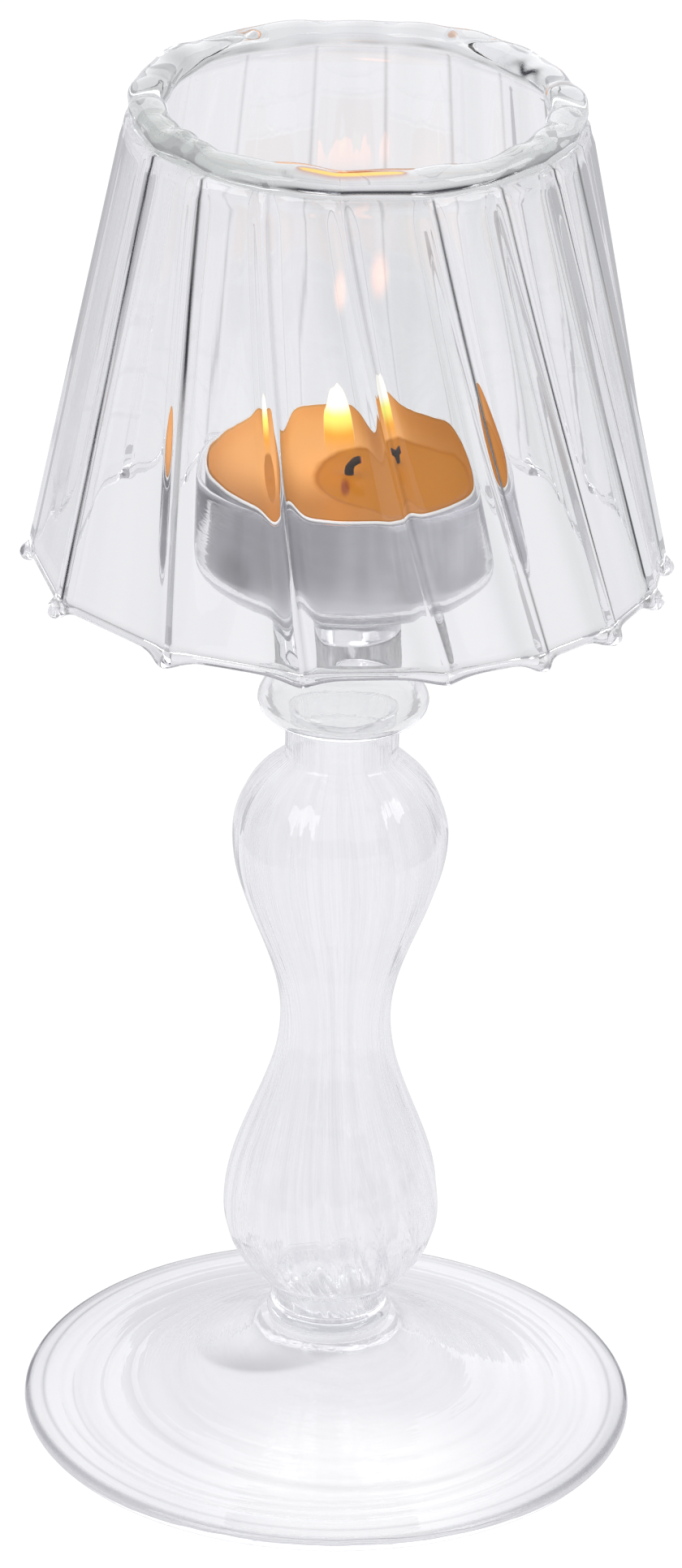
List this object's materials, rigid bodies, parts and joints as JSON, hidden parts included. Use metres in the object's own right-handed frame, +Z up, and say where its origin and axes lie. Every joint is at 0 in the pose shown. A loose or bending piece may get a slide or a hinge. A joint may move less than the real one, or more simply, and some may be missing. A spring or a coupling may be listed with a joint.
{
  "type": "hurricane candle holder",
  "caption": "Lamp-shaped candle holder of clear glass: trumpet foot, baluster stem, cup with a lift-out tea light, and a ribbed conical shade open at top and bottom.",
  "frame": {"origin": "centre of the foot, on the surface it stands on", "axes": "+Z up along the stem, -Y towards the front of the picture, +X to its right"},
  "size_m": [0.0864, 0.0858, 0.1906],
  "materials": {
    "glass": "clear, fire polished",
    "frosted_glass": "frosted",
    "can": "satin",
    "wax": "melted wax, lit by the flame",
    "clip": "tinned",
    "wick": "charred cotton"
  },
  "bodies": {
    "holder": {"foot": "glass", "foot_merese": "glass", "stem": "glass", "stem_knop": "glass", "cup_merese": "frosted_glass", "cup": "glass", "shade": "glass", "shade_arm_1": "glass", "shade_arm_2": "glass", "shade_arm_3": "glass"},
    "tealight": {"tealight_can": "can", "tealight_wax": "wax", "wick_clip": "clip", "wick": "wick"}
  },
  "joints": [
    {"name": "tealight_lift", "type": "slide", "parent": "holder", "child": "tealight", "axis": [0, 0, 1], "range_m": [0, 0.08]}
  ]
}
